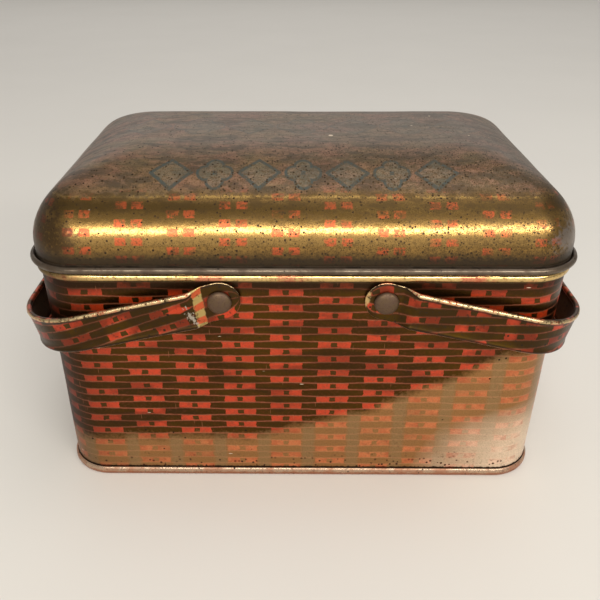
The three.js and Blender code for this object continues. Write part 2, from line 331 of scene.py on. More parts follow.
def round_holes(loft, outline, heights, inner_start):
    """Opens the rivets' holes through both skins and returns the faces of the holes' walls."""
    rings = loft.rings
    columns = rings.shape[1]
    bridges = []
    for side in (90, 270):
        for pivot in (-PIVOT_X, PIVOT_X):
            cells = set()
            for row in range(len(heights) - 1):
                for column in range(columns):
                    if outline.stations[column, 2] != side:
                        continue
                    middle = (rings[row, column] + rings[row + 1, (column + 1) % columns]) / 2
                    if math.hypot(middle[0] - pivot, middle[2] - PIVOT_Z) < HOLE_RADIUS:
                        cells.add((row, column))
            edges = []
            for row, column in cells:
                corner = [(row, column), (row, column + 1), (row + 1, column + 1), (row + 1, column)]
                beside = [(row - 1, column), (row, column + 1), (row + 1, column), (row, column - 1)]
                for i, other in enumerate(beside):
                    if other not in cells:
                        edges.append((corner[i], corner[(i + 1) % 4]))
            for row, column in {spot for edge in edges for spot in edge}:
                for skin_row in (row, inner_start - row):
                    point = rings[skin_row, column]
                    away = np.array([point[0] - pivot, point[2] - PIVOT_Z])
                    away *= HOLE_RADIUS / np.linalg.norm(away)
                    point[0], point[2] = pivot + away[0], PIVOT_Z + away[1]
            for (row_a, column_a), (row_b, column_b) in edges:
                bridges.append([
                    loft.index(row_a, column_a), loft.index(row_b, column_b),
                    loft.index(inner_start - row_b, column_b),
                    loft.index(inner_start - row_a, column_a)])
            loft.skipped |= cells
            loft.skipped |= {(inner_start - row - 1, column) for row, column in cells}
    return bridges


def body_wall(print_material, inside_material):
    outline = Outline(wall_marks(), [m / 12 for m in range(-12, 13)], 18)
    heights = wall_heights()
    bead = (BEAD_PROUD, BEAD_HALF_HEIGHT)
    neck_in = -2 * SHEET - NECK_LEAN
    hem_foot = NECK_TOP - HEM_HEIGHT
    profile = [(0, z) for z in heights]
    profile += arc((0, BEAD_Z), bead, -90, 90, ARC_STEPS)
    profile += [(-NECK_LEAN * 0.4, 96), (-NECK_LEAN * 0.8, 100.2), (-NECK_LEAN, NECK_TOP - 0.5)]
    outer_rows = len(profile)
    profile += arc((-NECK_LEAN - SHEET, NECK_TOP - SHEET), (SHEET, SHEET), 15, 165, ARC_STEPS // 2)
    profile += [(neck_in, NECK_TOP - 1), (neck_in, hem_foot + FOLD)]
    profile += [(neck_in + FOLD, hem_foot), (-SHEET - NECK_LEAN / 2, hem_foot - FOLD)]
    profile += arc((-SHEET, BEAD_Z), bead, 90, -90, ARC_STEPS)
    profile += [(-SHEET, z) for z in heights[::-1]]
    inner_start = len(profile) - 1
    loft = Loft([outline.wall_ring(*spot) for spot in profile],
                list(WALL_FOOT + lengths(profile)) + [0], outline.along, endless=True)
    for row, (offset, z) in enumerate(profile):
        if z <= heights[-1]:
            for column in range(loft.rings.shape[1]):
                lift = wall_lift(outline, column, loft.rings[row, column], offset == 0)
                loft.rings[row, column, :2] += lift * outline.out[column]
    bridges = round_holes(loft, outline, heights, inner_start)
    faces, corners, paints = loft.faces(lambda row: 0 if row < outer_rows else 1)
    faces += bridges
    corners += [[(0, 0)] * 4] * len(bridges)
    paints += [1] * len(bridges)
    make_piece("body_wall_shell", "box", "body_wall",
               loft.rings.reshape(-1, 3), faces, corners, paints, [print_material, inside_material])


# ---- Bottom panel ----
def bottom_panel(seam_material, under_material):
    outline = Outline([m / 36 for m in range(-36, 37)], [m / 12 for m in range(-12, 13)], 16)
    inside = -SHEET - GAP
    stand = inside - SHEET
    top = PANEL_Z + SHEET
    field = top - 1
    # Upper face from the middle outwards: an island, the pressed field, a step and the border.
    upper = [(-44, top - 0.3), (-42.5, top - 0.3), (-40.5, field), (-14, field), (-11, top - 0.95),
             (-9.6, top - 0.1), (-8.6, top), (stand - 1, top)]
    lower = [(x - FOLD, z - SHEET) for x, z in upper[::-1][1:]]
    profile = upper + arc((inside - GAP, top), (GAP, 0.45), 150, 0, 5)
    profile += [(inside, SHEET + GAP), (inside + GAP / 2, SHEET), (GAP / 2, SHEET), (GAP, SHEET + FOLD)]
    half_seam = SEAM_HEIGHT / 2
    profile += arc((GAP, half_seam), (SEAM_PROUD - GAP, half_seam), 90, -90, 18)
    seam_rows = len(profile)
    profile += arc((stand + 0.5, 0.5), (0.5, 0.5), -90, -180, 4)
    profile += arc((stand - 0.5, PANEL_Z - 0.5), (0.5, 0.5), 0, 90, 4) + lower
    rings = []
    for offset, z in profile:
        half_y = WALL_Y + offset
        radius = min(CORNER, half_y * 0.9) if offset < -30 else max(CORNER + offset, 6)
        rings.append(outline.ring(WALL_X + offset, half_y, radius, z))
    loft = Loft(rings, lengths(profile), outline.along)
    faces, corners, paints = loft.faces(lambda row: 0 if len(upper) - 1 <= row < seam_rows else 1)
    make_piece("bottom_panel_shell", "box", "bottom_panel",
               loft.rings.reshape(-1, 3), faces, corners, paints, [seam_material, under_material])


# ---- Lid ----
def lid_ring(outline, offset, inset, z):
    out = offset - inset
    wanted = CORNER + out
    eased = (wanted + LID_TOP_CORNER + math.hypot(wanted - LID_TOP_CORNER, LID_CORNER_EASE)) / 2
    half_y = WALL_Y + out
    return outline.ring(WALL_X + out, half_y, min(eased, half_y * 0.93), z)


def lid_shell(print_material, rim_material, inside_material):
    outline = Outline([m / 44 for m in range(-44, 45)], [m / 18 for m in range(-18, 19)], 20)

    def skin(offset, thickness, steps):
        """(offset, inset, z, outward part of the normal, upward part) from skirt to middle."""
        rise = LID_TOP - thickness - SKIRT_TOP
        rows = [(offset, 0, z, 1, 0) for z in (RIM_Z + 1.6, SKIRT_TOP - 1.6)]
        for step in range(steps + 1):
            turn = step / steps * math.pi / 2
            slope = Vector((rise * math.cos(turn), DOME_INSET * math.sin(turn))).normalized()
            inset = DOME_INSET * (1 - math.cos(turn))
            rows.append((offset, inset, SKIRT_TOP + rise * math.sin(turn), *slope))
        spread = (3, 6, 9, 12, DOME_SPREAD)
        return rows + [(offset, DOME_INSET + extra, LID_TOP - thickness, 0, 1) for extra in spread]

    inner, outer = LID_SLIP, LID_SLIP + LID_SHEET
    curl = inner + RIM_RADIUS
    core = RIM_RADIUS - LID_SHEET
    rows = skin(inner, LID_SHEET, 20)[::-1]
    inside_rows = len(rows)
    rows += [(x, 0, z, 0, 0) for x, z in arc((curl, RIM_Z), (RIM_RADIUS,) * 2, 180, 445, 22)]
    rows += [(curl - 0.22, 0, RIM_Z + core + LID_SHEET / 2, 0, 0)]
    rows += [(x, 0, z, 0, 0) for x, z in arc((curl, RIM_Z), (core,) * 2, 445, 180, 16)]
    rim_rows = len(rows)
    rows += skin(outer, 0, 44)
    rings = []
    for offset, inset, z, outward, upward in rows:
        ring = lid_ring(outline, offset, inset, z)
        for column, point in enumerate(ring):
            place = np.array([point[0], point[1], z]) * [0.7, 1.2, 1]
            push = dent(place, 42, 0.34) * smooth(z, SKIRT_TOP + 1, SKIRT_TOP + 12)
            normal = np.array([*(outline.out[column] * outward), upward])
            ring[column] = point - normal * push
        rings.append(ring)
    across = lengths([(offset - inset, z) for offset, inset, z, _, _ in rows])
    loft = Loft(rings, across - across[rim_rows], outline.along)
    faces, corners, paints = loft.faces(
        lambda row: 2 if row < inside_rows else 1 if row < rim_rows else 0)
    make_piece("lid_dome", "lid", "lid_shell", loft.rings.reshape(-1, 3),
               faces, corners, paints, [print_material, rim_material, inside_material])


# ---- Handles ----
def handle_path():
    """Outside face of the right handle's front half in plan, as (distance from the pivot, y)."""
    tab_y, arm_y = WALL_Y + TAB_FACE, WALL_Y + HANDLE_STAND_OFF
    path = [(-TAB_RADIUS * math.cos(t), tab_y) for t in np.linspace(0.03, math.pi / 2, 14)]
    path += [(u, tab_y) for u in spaced(1.2, JOGGLE[0] - 0.5, 1.2)]
    for step in range(13):
        share = step / 12
        eased = share + (smooth(share, 0, 1) - share) * 0.35
        path.append((JOGGLE[0] + (JOGGLE[1] - JOGGLE[0]) * share, tab_y + (arm_y - tab_y) * eased))
    bend_start = HANDLE_REACH - HANDLE_BEND
    path += [(u, arm_y) for u in spaced(JOGGLE[1] + 1, bend_start, 2.5)]
    for step in range(25):
        turn = step / 24 * math.pi / 2
        path.append((bend_start + HANDLE_BEND * math.sin(turn),
                     arm_y - HANDLE_BEND * (1 - math.cos(turn))))
    path += [(HANDLE_REACH, y) for y in spaced(arm_y - HANDLE_BEND, 0, 3)[1:]]
    return [(u, -y) for u, y in path] + [(HANDLE_REACH, 0)] + [(u, y) for u, y in path[::-1]]


def rolled_section(half_width):
    """(depth, height) round the strap: a web set back between two hollow rolled edges."""
    top = half_width - ROLL
    bore = ROLL - 0.55
    upper = arc((ROLL, top), (ROLL, ROLL), 215, -70, 15) + arc((ROLL, top), (bore, bore), -70, 215, 11)
    web_in = [(WEB_SET_BACK + SHEET, h) for h in np.linspace(top - 1.1, -top + 1.1, 7)]
    lower = [(d, -h) for d, h in upper[::-1]]
    web_out = [(WEB_SET_BACK, h) for h in np.linspace(-top + 1.1, top - 1.1, 9)]
    return upper + web_in + lower + web_out


INNER_COLUMNS = range(15, 46)  # stations of rolled_section that face the wall


def flat_section(half_width):
    """The same points on a plain strip with rounded edges."""
    round_edge = SHEET / 2
    top = max(half_width - round_edge, 0.05)
    upper = arc((round_edge, top), (round_edge,) * 2, 180, 60, 15)
    upper += arc((round_edge, top), (round_edge,) * 2, 50, 0, 11)
    web = max(top - 0.6, 0.02)
    web_in = [(SHEET, h) for h in np.linspace(web, -web, 7)]
    lower = [(d, -h) for d, h in upper[::-1]]
    web_out = [(0, h) for h in np.linspace(-web, web, 9)]
    return upper + web_in + lower + web_out


def handle(side, material, lining):
    """side is 1 for the right handle. lining is the finish of the side towards the wall."""
    path = handle_path()
    section = rolled_section(HANDLE_WIDTH / 2)
    along = lengths(path)
    if side < 0:
        along = along[-1] - along  # counted from the front tab on both handles
    rings = []
    for i, (u, y) in enumerate(path):
        before, after = path[max(i - 1, 0)], path[min(i + 1, len(path) - 1)]
        ahead = Vector((after[0] - before[0], after[1] - before[1])).normalized()
        inward = Vector((-ahead.y, ahead.x))
        rolled = smooth(u, JOGGLE[0] - 0.5, JOGGLE[1] + 1)
        half = math.sqrt(TAB_RADIUS ** 2 - u * u) if u < 0 else (
            TAB_RADIUS + (HANDLE_WIDTH / 2 - TAB_RADIUS) * smooth(u, 0, JOGGLE[1]))
        ring = []
        for (depth_r, height_r), (depth_f, height_f) in zip(section, flat_section(half)):
            depth = depth_f + (depth_r - depth_f) * rolled
            height = height_f + (height_r - height_f) * rolled
            cup = smooth(math.hypot(min(u, 0), height), CUP_FROM, TAB_RADIUS)
            cup *= 1 - smooth(u, 0, JOGGLE[0])
            slack = smooth(u, 14, 30) * dent((u, y * 0.6, height * 0.5), 17, 0.22)
            depth += TAB_CUP * cup + slack
            ring.append((u + inward.x * depth, y + inward.y * depth, height))
        rings.append(ring)
    contour = lengths(section + section[:1])
    middle = len(section) // 2
    contour[middle:] -= contour[-1]  # 0 where the upper roll leaves the web
    contour += HANDLE_WIDTH / 2 - ROLL
    loft = Loft(rings, along, contour, swap=True)
    turn = Matrix.Rotation(HANDLE_DROOP, 3, "Y")
    if side < 0:
        turn = Matrix.Rotation(math.pi, 3, "Z") @ turn
    vertices = loft.rings.reshape(-1, 3) @ np.array(turn).T + [side * PIVOT_X, 0, PIVOT_Z]
    faces, corners, paints = loft.faces(lambda row: 0)
    columns = len(section)
    for i in range((len(rings) - 1) * columns):
        paints[i] = int(i % columns in INNER_COLUMNS)
    name = "right" if side > 0 else "left"
    make_piece(f"handle_{name}_strap", f"{name}_handle", f"handle_{name}",
               vertices, faces, corners, paints, [material, lining], side * PIVOT_X)


# ---- Rivets and burrs ----
def turned(name, body, replaced, profile, x, side, material, endless):
    """A lathed piece on the Y axis at a rivet's place; the profile is (radius, depth)."""
    turns = np.linspace(0, 2 * math.pi, ROUND_SEGMENTS, endpoint=False)
    rings = []
    for radius, depth in profile:
        rings.append(np.column_stack([
            x + radius * np.cos(turns), np.full(ROUND_SEGMENTS, side * (WALL_Y + depth)),
            PIVOT_Z + radius * np.sin(turns)]))
    along = list(lengths(profile)) + [0]
    loft = Loft(rings, along, np.linspace(0, 20, ROUND_SEGMENTS + 1), endless=endless)
    faces, corners, paints = loft.faces(lambda row: 0)
    make_piece(name, body, replaced, loft.rings.reshape(-1, 3),
               faces, corners, paints, [material])


def rivet(where, hand, x, side, material):
    edge, crown = HEAD_SEAT + HEAD_EDGE, HEAD_HEIGHT - HEAD_EDGE
    head = [(HEAD_RADIUS * math.cos(t), edge + crown * math.sin(t) ** 0.9)
            for t in np.linspace(0, math.pi / 2 - 0.06, ARC_STEPS)]
    tail = [(TAIL_RADIUS * math.sin(t), TAIL_SEAT - TAIL_DEPTH * math.cos(t))
            for t in np.linspace(0.08, math.pi / 2, 8)]
    profile = tail + [(SHANK_RADIUS, TAIL_SEAT), (SHANK_RADIUS, HEAD_SEAT)]
    profile += [(HEAD_RADIUS - 0.2, HEAD_SEAT)]
    profile += [(HEAD_RADIUS, HEAD_SEAT + 0.12)] + head
    turned(f"rivet_{where}_{hand}_head", "box", f"rivet_{where}_{hand}",
           profile, x, side, material, False)


def burr(where, hand, x, side, material):
    back = BURR_FACE - BURR_THICKNESS
    profile = [(HOLE_RADIUS, back + 0.1), (HOLE_RADIUS + 0.1, back), (BURR_RADIUS - 0.15, back),
               (BURR_RADIUS, back + 0.15), (BURR_RADIUS, BURR_FACE - 0.1),
               (BURR_RADIUS - 0.1, BURR_FACE), (HOLE_RADIUS + 0.1, BURR_FACE),
               (HOLE_RADIUS, BURR_FACE - 0.1)]
    turned(f"burr_{where}_{hand}_ring", "box", f"burr_{where}_{hand}",
           profile, x, side, material, True)


# ---- Shading ----
def srgb(*levels):
    """A colour given as 0-255 levels."""
    parts = [level / 255 for level in levels]
    return tuple(p / 12.92 if p < 0.04045 else ((p + 0.055) / 1.055) ** 2.4 for p in parts)


class Field:
    """A value that varies over a surface; arithmetic on it adds Math nodes."""

    def __init__(self, tree, socket):
        self.tree = tree
        self.socket = socket

    def math(self, operation, *others, clamp=False, first=None):
        node = self.tree.nodes.new("ShaderNodeMath")
        node.operation = operation
        node.use_clamp = clamp
        values = (self, *others) if first is None else (first, self)
        for place, value in enumerate(values):
            if isinstance(value, Field):
                self.tree.links.new(value.socket, node.inputs[place])
            else:
                node.inputs[place].default_value = value
        return Field(self.tree, node.outputs[0])

    def __add__(self, other):
        return self.math("ADD", other)

    __radd__ = __add__

    def __mul__(self, other):
        return self.math("MULTIPLY", other)

    __rmul__ = __mul__

    def __sub__(self, other):
        return self.math("SUBTRACT", other)

    def __rsub__(self, other):
        return self.math("SUBTRACT", first=other)

    def __truediv__(self, other):
        return self.math("DIVIDE", other)

    def __abs__(self):
        return self.math("ABSOLUTE")

    def below(self, limit, soft):
        """1 where the value is under limit, 0 over it, with an edge soft wide."""
        return ((limit - self) / soft + 0.5).math("ADD", 0, clamp=True)

    def above(self, limit, soft):
        return ((self - limit) / soft + 0.5).math("ADD", 0, clamp=True)


class Shader:
    """A procedural metal. Layers go over a base finish one by one."""

    def __init__(self, name, colour, metal, rough, coat=0.0, coat_rough=0.1):
        self.material = bpy.data.materials.new(name)
        self.material.use_nodes = True
        self.tree = self.material.node_tree
        self.surface = self.tree.nodes["Principled BSDF"]
        self.surface.inputs["Coat Weight"].default_value = coat
        self.surface.inputs["Coat Roughness"].default_value = coat_rough
        self.colour, self.metal, self.rough = colour, metal, rough
        coordinates = self.tree.nodes.new("ShaderNodeTexCoord").outputs["Object"]
        self.place = self.stretched(coordinates, (1 / MM,) * 3)
        split = self.tree.nodes.new("ShaderNodeSeparateXYZ")
        self.tree.links.new(self.place, split.inputs[0])
        self.x, self.y, self.z = (Field(self.tree, output) for output in split.outputs)

    def stretched(self, vector, factors, shift=(0, 0, 0)):
        node = self.tree.nodes.new("ShaderNodeVectorMath")
        node.operation = "MULTIPLY_ADD"
        self.tree.links.new(vector, node.inputs[0])
        node.inputs[1].default_value = factors
        node.inputs[2].default_value = shift
        return node.outputs[0]

    def print_place(self):
        """The print coordinates, in millimetres round and up the sheet."""
        uv_map = self.tree.nodes.new("ShaderNodeUVMap")
        uv_map.uv_map = "print"
        split = self.tree.nodes.new("ShaderNodeSeparateXYZ")
        self.tree.links.new(uv_map.outputs[0], split.inputs[0])
        return Field(self.tree, split.outputs[0]), Field(self.tree, split.outputs[1])

    def cloud(self, size, detail=3.0, stretch=(1, 1, 1), shift=0.0, rough=0.55):
        """Smooth noise from 0 to 1 with features about size across."""
        node = self.tree.nodes.new("ShaderNodeTexNoise")
        factors = [1 / (size * s) for s in stretch]
        self.tree.links.new(self.stretched(self.place, factors, (shift,) * 3), node.inputs["Vector"])
        node.inputs["Scale"].default_value = 1
        node.inputs["Detail"].default_value = detail
        node.inputs["Roughness"].default_value = rough
        return Field(self.tree, node.outputs[0])

    def specks(self, size, radius, share, stretch=(1, 1, 1), shift=0.0, soft=0.06):
        """Scattered dots: one cell in every size, of which a share holds a dot."""
        node = self.tree.nodes.new("ShaderNodeTexVoronoi")
        factors = [1 / (size * s) for s in stretch]
        self.tree.links.new(self.stretched(self.place, factors, (shift,) * 3), node.inputs["Vector"])
        node.inputs["Scale"].default_value = 1
        split = self.tree.nodes.new("ShaderNodeSeparateXYZ")
        self.tree.links.new(node.outputs["Color"], split.inputs[0])
        chosen = Field(self.tree, split.outputs[0]).below(share, 0.02)
        reach = Field(self.tree, split.outputs[1]) * radius + radius * 0.4
        return Field(self.tree, node.outputs["Distance"]).below(reach, soft) * chosen

    def over(self, mask, colour=None, metal=None, rough=None):
        """Lays a finish over the one so far where the mask is 1."""
        if colour is not None:
            mix = self.tree.nodes.new("ShaderNodeMix")
            mix.data_type = "RGBA"
            self.tree.links.new(mask.socket, mix.inputs["Factor"])
            for name, value in (("A", self.colour), ("B", colour)):
                socket = next(i for i in mix.inputs if i.name == name and i.type == "RGBA")
                if isinstance(value, tuple):
                    socket.default_value = (*value, 1)
                else:
                    self.tree.links.new(value, socket)
            self.colour = next(o for o in mix.outputs if o.type == "RGBA")
        if metal is not None:
            self.metal = mask * (metal - self.metal) + self.metal
        if rough is not None:
            self.rough = mask * (rough - self.rough) + self.rough

    def finish(self, height=None, depth=0.0):
        """Connects the layers; height is a field of bumps up to depth millimetres."""
        layers = {"Base Color": self.colour, "Metallic": self.metal, "Roughness": self.rough}
        for name, value in layers.items():
            socket = self.surface.inputs[name]
            if isinstance(value, Field):
                self.tree.links.new(value.socket, socket)
            elif isinstance(value, bpy.types.NodeSocket):
                self.tree.links.new(value, socket)
            else:
                socket.default_value = (*value, 1) if isinstance(value, tuple) else value
        if height is not None:
            bump = self.tree.nodes.new("ShaderNodeBump")
            bump.inputs["Distance"].default_value = depth * MM
            self.tree.links.new(height.socket, bump.inputs["Height"])
            self.tree.links.new(bump.outputs[0], self.surface.inputs["Normal"])
        return self.material


# ---- Colours ----
# The wall and handle gold is darkened below the lacquer's own tone: partly the lacquer, partly a
# painted dark reflection.
GOLD_AND_DARK_REFLECTION = (0.078, 0.04, 0.005)
LID_GOLD = (0.34, 0.2, 0.06)
RED = (0.5, 0.038, 0.005)
MARGIN = (0.16, 0.03, 0.01)
HAIRLINE = (0.42, 0.15, 0.07)
PATINA = (0.15, 0.1, 0.06)
PINK = (0.25, 0.11, 0.065)
RUST = srgb(70, 40, 24)
SOOT = (0.022, 0.011, 0.004)
INK = srgb(44, 58, 56)
CREAM = srgb(214, 192, 166)
COPPER_AND_SHADE = (0.3, 0.1, 0.045)
DEEP_GOLD = (0.05, 0.022, 0.004)
BRIGHT_GOLD = (0.72, 0.5, 0.2)
BEAD_RED = (0.6, 0.16, 0.09)
SHADE = (0.024, 0.01, 0.003)
FADED_AND_REFLECTED = (0.57, 0.28, 0.1)
FADED_AND_REFLECTED_OLIVE = (0.24, 0.2, 0.1)
BLEACHED_AND_REFLECTED = (0.9, 0.72, 0.54)
LEFT_CORNER_SHADE = (0.026, 0.009, 0.003)
SMUDGE = (0.03, 0.012, 0.003)
WORN_RED = (0.3, 0.035, 0.006)
LID_DEEP = (0.22, 0.13, 0.04)
LID_BROWN_AND_REFLECTION = (0.1, 0.055, 0.018)
LID_DARK_REFLECTION = (0.05, 0.032, 0.01)
LID_HIGHLIGHT_LINE = (0.42, 0.26, 0.08)
LID_FOOT_REFLECTION = (0.16, 0.09, 0.03)
LID_RED = (0.5, 0.07, 0.018)
GRIME = (0.03, 0.014, 0.004)
RUBBED = (0.7, 0.52, 0.28)


class Weave:
    """Masks of the printed basket weave at print coordinates u and v."""

    def __init__(self, shader, u, v, column, row, red=(RED_HALF, RED_HALF_HEIGHT),
                 square=(SQUARE_HALF, SQUARE_HALF_HEIGHT), soft=0.14):
        wander = shader.cloud(2.2, 3) - 0.5
        turn = (u + wander * 1.7 - column) / PERIOD
        level = (v + wander * 0.5 - row) / ROW + 0.5
        swell = (turn * (2 * math.pi)).math("COSINE") * (level * math.pi).math("COSINE")
        level = level - swell * (BOW / ROW)
        line = level.math("FLOOR")
        across = abs(level - line - 0.5) * ROW
        shift = line.math("FLOORED_MODULO", 2) * 0.5
        along = abs((turn + shift + 0.5).math("FRACT") - 0.5) * PERIOD
        self.red = along.below(red[0], soft) * across.below(red[1], soft)
        self.square = along.below(square[0], soft) * across.below(square[1], soft)
        self.margin = across.above(BAR_HALF_HEIGHT, 0.12)
        between = abs((turn * 2 + 0.5).math("FRACT") - 0.5) * (PERIOD / 2)
        self.gap = between.above(RED_HALF + 0.5, 1.2)
        self.hairline = across.above(LINE_FROM, 0.1)


def printed(shader, weave, strength=1.0):
    """Lays the weave's inks over gold lacquer. strength may be a field."""
    lines = 0.75
    shader.over(weave.margin * lines * strength, MARGIN, 0.7, 0.38)
    shader.over(weave.red * strength, RED, 0.35, 0.36)
    shader.over(weave.square * strength, GOLD_AND_DARK_REFLECTION, 0.9, 0.34)
    shader.over(weave.hairline * lines * strength, HAIRLINE, 0.6, 0.36)


def wall_material():
    shader = Shader("printed_wall", GOLD_AND_DARK_REFLECTION, 1.0, 0.3, coat=0.06, coat_rough=0.16)
    u, v = shader.print_place()
    front = u - GIRTH / 2  # 0 at the middle of the front
    weave = Weave(shader, front, v, STRAND_X, STRAND_Z)
    broad = shader.cloud(26, 3)
    fine = shader.cloud(1.1, 4, shift=7)
    panel = v.below(BEAD_Z - BEAD_HALF_HEIGHT - 0.4, 0.3)
    shader.over(broad.above(0.52, 0.2) * 0.6, DEEP_GOLD, 1.0, 0.36)
    printed(shader, weave, panel)
    shader.over(fine.above(0.56, 0.2) * 0.35, (0.16, 0.04, 0.01))
    smudges = shader.cloud(14, 4, stretch=(1.8, 1.8, 0.6), shift=31).above(0.56, 0.1)
    shader.over(smudges * 0.45, SMUDGE, 0.9, 0.42)
    # Red patches left on the bead.
    bead_red = shader.cloud(8, 3, stretch=(1.5, 1.5, 1), shift=3).above(0.57, 0.08)
    shader.over(1 - panel, BRIGHT_GOLD, 1.0, 0.2)
    shader.over(bead_red * (1 - panel) * v.below(BEAD_Z + 2.2, 1.0) * 0.8, BEAD_RED, 0.8, 0.28)
    shader.over((1 - panel) * fine.above(0.6, 0.08) * 0.6, (0.1, 0.05, 0.02))
    # Painted shade in the hollow just below the bead.
    shade_under_bead = v.above(BEAD_Z - 5, 3.5) * v.below(BEAD_Z - 0.1, 0.8)
    shader.over(shade_under_bead * 0.93, SHADE, 0.9, 0.46)
    # Lacquer bleached towards the foot, most of all at the front right corner; this pale zone is partly
    # faded lacquer and partly a painted reflection of bright ground in front.
    slope = ((front + 25) / 100).math("MAXIMUM", 0).math("MINIMUM", 1).math("POWER", 1.5)
    fall = 1 - ((front - 115) / 80).math("MAXIMUM", 0).math("MINIMUM", 1)
    edge = slope * fall * 39 + 20 + (broad - 0.5) * 12 + (fine - 0.5) * 5
    fade_and_reflection = v.below(edge, 5)
    shader.over(fade_and_reflection * 0.5, FADED_AND_REFLECTED, 0.65, 0.36)
    shader.over(fade_and_reflection * weave.gap * 0.32, FADED_AND_REFLECTED_OLIVE, 0.7, 0.38)
    corner = (front - 92) / 44
    rise = (v - 4) / 30
    bleach_and_reflection = (corner * corner + rise * rise + (broad - 0.5) * 0.9).below(0.5, 1.3)
    shader.over(bleach_and_reflection * fade_and_reflection * 0.85, BLEACHED_AND_REFLECTED, 0.4, 0.4)
    # Painted shade at the front left corner: the lacquer is darkened there to paint in the dark
    # reflection along that edge.
    dark = (abs(front + 118) / 46 + (broad - 0.5) * 0.5).below(0.8, 0.6)
    shader.over(dark * 0.86 * (1 - fade_and_reflection * 0.55), LEFT_CORNER_SHADE, 0.95, 0.58)
    # Age: brown toning, dark specks and rust above the seam, scratches and bare nicks; also painted
    # shade in the crevice over the seam.
    foot = v.below(9 + (fine - 0.5) * 6, 6)
    shader.over(shader.specks(1.5, 0.3, 0.28, shift=5) * foot, RUST, 0.8, 0.5)
    # Painted shade: a dark band in the crevice just above the seam.
    shader.over(v.below(4.1 + (fine - 0.5) * 1.6, 0.4), SOOT, 0.8, 0.5)
    near_edge = (1 - abs(v - edge) / 9).math("MAXIMUM", 0)
    shader.over(shader.specks(2.2, 0.17, near_edge * 0.12 + 0.004, shift=11), SOOT, 0.9, 0.5)
    red_worn = weave.red * (1 - weave.square) * shader.cloud(3.2, 4, shift=17).above(0.52, 0.2)
    shader.over(red_worn * 0.35, WORN_RED, 0.6, 0.4)
    grain = shader.cloud(0.5, 2, shift=13)
    shader.over(grain.above(0.52, 0.3) * 0.22, (0.05, 0.02, 0.006))
    shader.over(fine.above(0.62, 0.1) * broad.above(0.5, 0.2) * 0.3, RUST, 0.5, 0.45)
    scratches = shader.specks(5, 0.1, 0.1, stretch=(0.12, 0.12, 2.2), shift=2)
    shader.over(scratches * 0.6, HAIRLINE, 0.7, 0.4)
    nicks = shader.specks(9, 0.07, 0.16, stretch=(1.7, 1.7, 0.3), shift=9, soft=0.02)
    shader.over(nicks, CREAM, 0.4, 0.4)
    height = shader.cloud(3.5, 3, shift=4) + weave.hairline * -0.25
    return shader.finish(height, 0.05)


def ornament(x, y, middle, half_length, half_height, count):
    """Distance to a row of alternating lozenges and quatrefoils, and a mask that bounds it."""
    pitch = 2 * half_length / count
    place = (x + half_length) / pitch
    cell = place.math("FLOOR")
    across = abs((place - cell - 0.5) * pitch)
    up = abs(y - middle)
    lozenge = (across / (pitch * 0.46) + up / half_height - 1) * (half_height * 0.62)
    long = across.math("MAXIMUM", up)
    short = across.math("MINIMUM", up)
    petal = half_height * 0.48
    away = long - (half_height - petal)
    foil = (away * away + short * short).math("SQRT") - petal
    odd = cell.math("FLOORED_MODULO", 2)
    distance = foil * odd + lozenge * (1 - odd)
    bounds = abs(x).below(half_length, 0.1) * up.below(half_height + 1, 0.1)
    return distance, bounds


